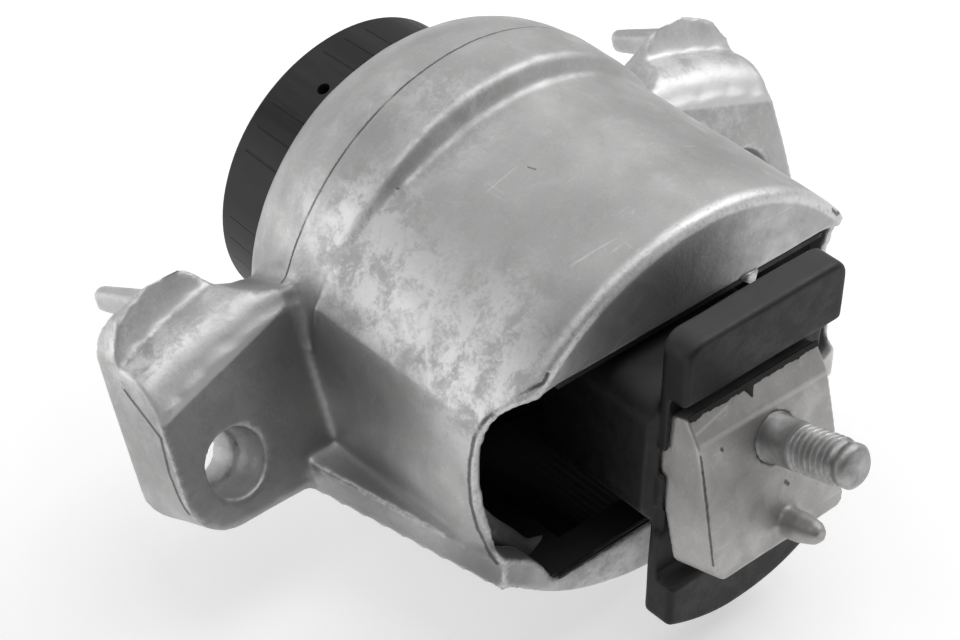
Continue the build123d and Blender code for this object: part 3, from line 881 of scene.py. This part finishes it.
# Dark line along the ear's outer edge, on the right side; the left one mirrors it
EAR_EDGE = (
    mm(104.1, 111.6, -0.4),
    mm(104.2, 106.7, -2.4),
    mm(104.1, 98.3, -6.2),
    mm(104.1, 95.7, -15.1),
    mm(104.1, 92.7, -20.3),
    mm(103.5, 89.5, -24.5),
)
# The painted highlight on the ear's scoop ends on this line, where painted shade starts on the
# left ear: its height at x = 0 and how it falls with x
SCOOP_LINE_HEIGHT = 25.7 * MM
SCOOP_LINE_FALL = 0.2775
# Dark marks on the core, its flank's edge and two pits: start, end and width
CORE_MARKS = (
    (mm(-23.8, 1.8, 6.5), mm(-24.3, -5.4, -22.0), 0.45 * MM),
    (mm(-17.2, 1.6, 5.4), mm(-17.0, 1.5, 4.9), 0.6 * MM),
    (mm(1.0, -3.5, -12.0), mm(1.8, -3.7, -13.0), 0.7 * MM),
)
# Painted highlights along the core's bevel: start, end and width
CORE_HIGHLIGHTS = (
    (mm(-24.0, 2.6, 8.4), mm(19.5, 2.3, 8.0), 1.0 * MM),
    (mm(-23.0, 4.6, 10.8), mm(-12.0, 5.9, 12.4), 0.6 * MM),
)
# Bright scratches and dark gouges on the housing: start, end and width
SCRATCHES = (
    (mm(-26.9, 72.7, 42.4), mm(-16.8, 72.4, 45.9), 0.32 * MM),
    (mm(-42.5, 66.5, 33.6), mm(-42.0, 61.6, 33.4), 0.32 * MM),
    (mm(-29.8, 41.1, 41.1), mm(-18.6, 37.9, 45.4), 0.4 * MM),
    (mm(-24.0, 36.1, 43.8), mm(-9.6, 34.5, 46.9), 0.3 * MM),
    (mm(-28.2, 28.0, 23.0), mm(-23.0, 28.0, 26.1), 0.4 * MM),
    (mm(-23.0, 28.0, 26.1), mm(-14.7, 28.0, 27.6), 0.4 * MM),
    (mm(10.0, 55.0, 46.5), mm(26.0, 52.0, 43.5), 0.3 * MM),
    (mm(-99.0, 96.2, -7.6), mm(-97.6, 96.0, -8.6), 0.6 * MM),
)
GOUGES = (
    (mm(-46.3, 109.0, 31.8), mm(-46.6, 114.6, 31.5), 0.5 * MM),
    (mm(-46.6, 114.6, 31.5), mm(-48.2, 114.2, 29.6), 0.6 * MM),
    (mm(-15.8, 70.5, 46.1), mm(-15.2, 68.2, 46.3), 0.4 * MM),
    (mm(-39.3, 97.3, 35.3), mm(-36.6, 92.2, 37.2), 0.5 * MM),
    (mm(-98.6, 95.6, -8.6), mm(-97.2, 95.4, -9.4), 0.5 * MM),
)
casting = cast_metal(
    "cast_housing",
    0.58,
    0.004,
    dirt_and_shade=0.6,
    stains_and_shade=STAINS_AND_SHADE,
    bright=SCRATCHES,
    dark=GOUGES,
    wear_and_highlights=WEAR_AND_HIGHLIGHTS,
    groove=(RIM_GROOVE, EAR_EDGE),
)
core_casting = cast_metal(
    "cast_core",
    0.52,
    0.025,
    dirt_and_shade=0.8,
    stains_and_shade=CORE_STAINS,
    bright=CORE_HIGHLIGHTS,
    dark=CORE_MARKS,
    grain=1.2,
    edges=0.1,
)
pad_rubber = rubber("snubber_rubber", 0.021, dust_and_sheen=0.3)
spring_rubber = rubber("spring_rubber", 0.018, dust_and_sheen=0.2, rough=0.5)
# The swell is the spring's rubber made lighter: painted light on it
lit_swell_rubber = rubber("lit_swell_rubber", 0.16, dust_and_sheen=0.5)
stud_steel = plain_steel("stud_steel", 0.5, rough=0.42, metallic=0.75, shank=THREAD_START)
sleeve_steel = plain_steel("sleeve_steel", 0.45)
cap_plastic = moulded_plastic("cap_plastic", 0.02, seams=True)
channel_plastic = moulded_plastic("channel_plastic", 0.03)


# Pieces
def make_housing():
    """Housing with scooped side walls, a set-back right corner and the webs."""
    cutters = [scoop(side, SCOOP_RADIUS) for side in (-1, 1)]
    cutters.append(lower_corner(1, CORNER_INNER, CORNER_BACK + RIGHT_SETBACK))
    mesh = cut(welded("housing"), cutters)
    mesh = remeshed(joined(mesh, [corner_web(side) for side in (-1, 1)]), HOUSING_VOXEL)
    for wave in HOUSING_WAVES:
        uneven(mesh, *wave)
    add_piece("housing_casting", mesh, casting, "housing")


def make_spring():
    """Rubber spring, whose lining follows the side walls' front edges, and its swells."""
    cutters = [scoop(side, SCOOP_RADIUS + LINING_SETBACK) for side in (-1, 1)]
    cutters += [lower_corner(side, LINING_INNER, WEB_BACK) for side in (-1, 1)]
    mesh = cut(welded("main_spring"), cutters)
    piece = add_piece("main_spring_moulding", mesh, spring_rubber, "main_spring")
    piece.data.set_sharp_from_angle(angle=SPRING_EDGE)
    for side, name in ((-1, "left"), (1, "right")):
        add_piece(f"corner_swell_{name}", corner_swell(side), lit_swell_rubber)


def make_core():
    """Core casting."""
    mesh = remeshed(welded("core"), CORE_VOXEL)
    for wave in CORE_WAVES:
        uneven(mesh, *wave)
    add_piece("core_casting", mesh, core_casting, "core")


def make_snubber():
    """Rubber snubber round the core."""
    mesh = remeshed(welded("snubber"), SNUBBER_VOXEL)
    for wave in SNUBBER_WAVES:
        uneven(mesh, *wave)
    add_piece("snubber_moulding", mesh, pad_rubber, "snubber")


def make_stud():
    """Stud with its thread. A section without a radius is on the thread."""

    def radius_at(section, angle):
        along, radius = section
        if radius is not None:
            return radius
        turn = (along / THREAD_PITCH + angle / (2 * math.pi)) % 1.0
        tooth = abs(turn - 0.5) * 2
        depth = THREAD_DEPTH * min(max((tooth - THREAD_CREST) / THREAD_FLANK, 0.0), 1.0)
        fade = min(max((along - THREAD_START) / THREAD_FADE, 0.0), 1.0)
        return STUD_RADIUS - depth * fade

    row = THREAD_PITCH / THREAD_ROWS
    count = round((THREAD_END - THREAD_START) / row)
    sections = [(-STUD_EMBED, STUD_ROOT_RADIUS), (0, STUD_ROOT_RADIUS), (0, STUD_RADIUS)]
    sections.append((THREAD_START, STUD_RADIUS))
    sections += [(THREAD_START + row * k, None) for k in range(1, count + 1)]
    sections += STUD_NOSE
    mesh = lathe("stud", sections, STUD_STEPS, radius_at)
    mesh.transform(Matrix.Rotation(math.pi / 2 - STUD_TILT, 4, "X"))
    add_piece("stud_threaded", mesh, stud_steel, "stud")


def add_strip(name, material, path, down, out, heights, thickness):
    """A thin closed strip along a path, with a ragged lower edge."""
    rows = []
    for point, height in zip(path, heights):
        base = point - down * STRIP_ROOT
        tip = point + down * height
        back = out * -STRIP_BACK
        front = out * thickness
        rows.append([base + back, base + front, tip + front * 0.5, tip + back])
    piece = add_piece(name, lofted(name, rows), material)
    for face in piece.data.polygons:
        face.use_smooth = False


def seat_point(x, up, out):
    """The point at x that lies so far up the core's seating face and so far out of it."""
    return Vector((x, up * SEAT_UP.y + out * SEAT_OUT.y, up * SEAT_UP.z + out * SEAT_OUT.z))


def make_bevel_flash(chance):
    """Ragged rubber flash over the core's top bevel, with one deep notch."""
    path = []
    heights = []
    for k in range(BEVEL_ROWS + 1):
        x = (BEVEL_START + BEVEL_LENGTH * k / BEVEL_ROWS) * MM
        path.append(seat_point(x, BEVEL_UP, BEVEL_OUT))
        cloud = noise.noise(Vector((k * 0.23, 0, 0)))
        ragged = 0.35 + 0.5 * (cloud + 0.5) + chance.uniform(0, 0.35)
        notch = max(0.0, 2.3 - abs(k - BEVEL_NOTCH) * 1.1)
        heights.append((ragged + notch) * MM)
    down = (SEAT_OUT * BEVEL_RUN - SEAT_UP * BEVEL_FALL).normalized()
    out = (SEAT_OUT * BEVEL_FALL + SEAT_UP * BEVEL_RUN).normalized()
    add_strip(
        "bevel_flash", pad_rubber, path, down, out, heights, BEVEL_THICKNESS
    )


def make_opening_flash(chance):
    """Ragged rubber flash along the opening's lower edge."""
    path = []
    heights = []
    for k in range(LIP_ROWS + 1):
        path.append(Vector((LIP_START + LIP_LENGTH * k / LIP_ROWS, LIP_Y, LIP_Z)) * MM)
        cloud = max(noise.noise(Vector((k * 0.31, 4, 0))) + 0.2, 0)
        heights.append((0.1 + 0.6 * cloud + chance.uniform(0, 0.3)) * MM)
    down = Vector((0, 0, -1))
    out = Vector((0, -1, 0))
    add_strip(
        "opening_flash", spring_rubber, path, down, out, heights, LIP_THICKNESS
    )


def make_nib():
    """Small pointed nib of cast metal under the front crescent."""
    shape = bmesh.new()
    base = [shape.verts.new(Vector(point) * MM) for point in NIB_BASE]
    middle = [shape.verts.new(Vector(point) * MM) for point in NIB_MIDDLE]
    tip = shape.verts.new(Vector(NIB_TIP) * MM)
    for k in range(4):
        after = (k + 1) % 4
        shape.faces.new((base[k], base[after], middle[after], middle[k]))
        shape.faces.new((middle[k], middle[after], tip))
    shape.faces.new(list(reversed(base)))
    add_piece("crescent_nib", closed("crescent_nib", shape), casting)


make_housing()
make_core()
make_snubber()
make_stud()
make_spring()
flash_chance = random.Random(FLASH_SEED)
make_bevel_flash(flash_chance)
make_opening_flash(flash_chance)
make_nib()

# The nodes that keep their own form
for node, material in (
    ("outer_sleeve", sleeve_steel),
    ("front_channel_plate", channel_plastic),
    ("rear_channel_plate", channel_plastic),
    ("decoupler_membrane", spring_rubber),
    ("diaphragm_ring", sleeve_steel),
    ("diaphragm", spring_rubber),
    ("end_cap", cap_plastic),
):
    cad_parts[node].data.materials.clear()
    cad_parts[node].data.materials.append(material)


# Floor and light
def make_floor():
    """White floor under the part."""
    low, high, level = -FLOOR_REACH, FLOOR_REACH, cad_low.z - FLOOR_DROP
    corners = [(low, low, level), (high, low, level), (high, high, level), (low, high, level)]
    mesh = bpy.data.meshes.new("floor")
    mesh.from_pydata(corners, [], [(0, 1, 2, 3)])
    floor = bpy.data.objects.new("floor", mesh)
    bpy.context.scene.collection.objects.link(floor)
    g = Graph("floor")
    g.set("Base Color", grey(FLOOR_LEVEL))
    g.set("Roughness", 0.9)
    g.set("Specular IOR Level", 0.1)
    path = g.tree.nodes.new("ShaderNodeLightPath")
    seen = g.math("MAXIMUM", path.outputs["Is Camera Ray"], path.outputs["Is Glossy Ray"])
    seen = g.math("MAXIMUM", seen, path.outputs["Is Transmission Ray"])
    glow = g.tree.nodes.new("ShaderNodeEmission")
    g.link(g.product(seen, FLOOR_GLOW), glow.inputs["Strength"])
    both = g.tree.nodes.new("ShaderNodeAddShader")
    g.link(g.shader.outputs[0], both.inputs[0])
    g.link(glow.outputs[0], both.inputs[1])
    g.link(both.outputs[0], g.output.inputs["Surface"])
    mesh.materials.append(g.material)


def add_lamp(name, place, power):
    """A soft box that points at the part."""
    data = bpy.data.lights.new(name, "AREA")
    data.shape = "RECTANGLE"
    data.size, data.size_y = LAMP_SIZE
    data.energy = power
    lamp = bpy.data.objects.new(name, data)
    lamp.location = place
    aim = Vector(LAMP_TARGET) - Vector(place)
    lamp.rotation_euler = aim.to_track_quat("-Z", "Y").to_euler()
    bpy.context.scene.collection.objects.link(lamp)


def make_world():
    """Faint even light from the studio's walls."""
    world = bpy.data.worlds.new("studio")
    bpy.context.scene.world = world
    world.use_nodes = True
    back = world.node_tree.nodes["Background"]
    back.inputs["Color"].default_value = WORLD_COLOUR
    back.inputs["Strength"].default_value = WORLD_LEVEL


make_floor()
make_world()
for lamp in LAMPS:
    add_lamp(*lamp)

# Camera
camera = bpy.data.objects.new("camera", bpy.data.cameras.new("camera"))
bpy.context.scene.collection.objects.link(camera)
camera.data.lens = CAMERA_LENS
camera.data.sensor_width = CAMERA_SENSOR
camera.data.clip_start = CAMERA_NEAR
camera.location = CAMERA_PLACE
look = Vector((
    math.sin(CAMERA_AZIMUTH) * math.cos(CAMERA_DROP),
    math.cos(CAMERA_AZIMUTH) * math.cos(CAMERA_DROP),
    -math.sin(CAMERA_DROP),
))
camera.rotation_mode = "QUATERNION"
camera.rotation_quaternion = look.to_track_quat("-Z", "Y") @ Quaternion((0, 0, 1), CAMERA_ROLL)
bpy.context.scene.camera = camera
bpy.context.scene.view_settings.view_transform = "Standard"
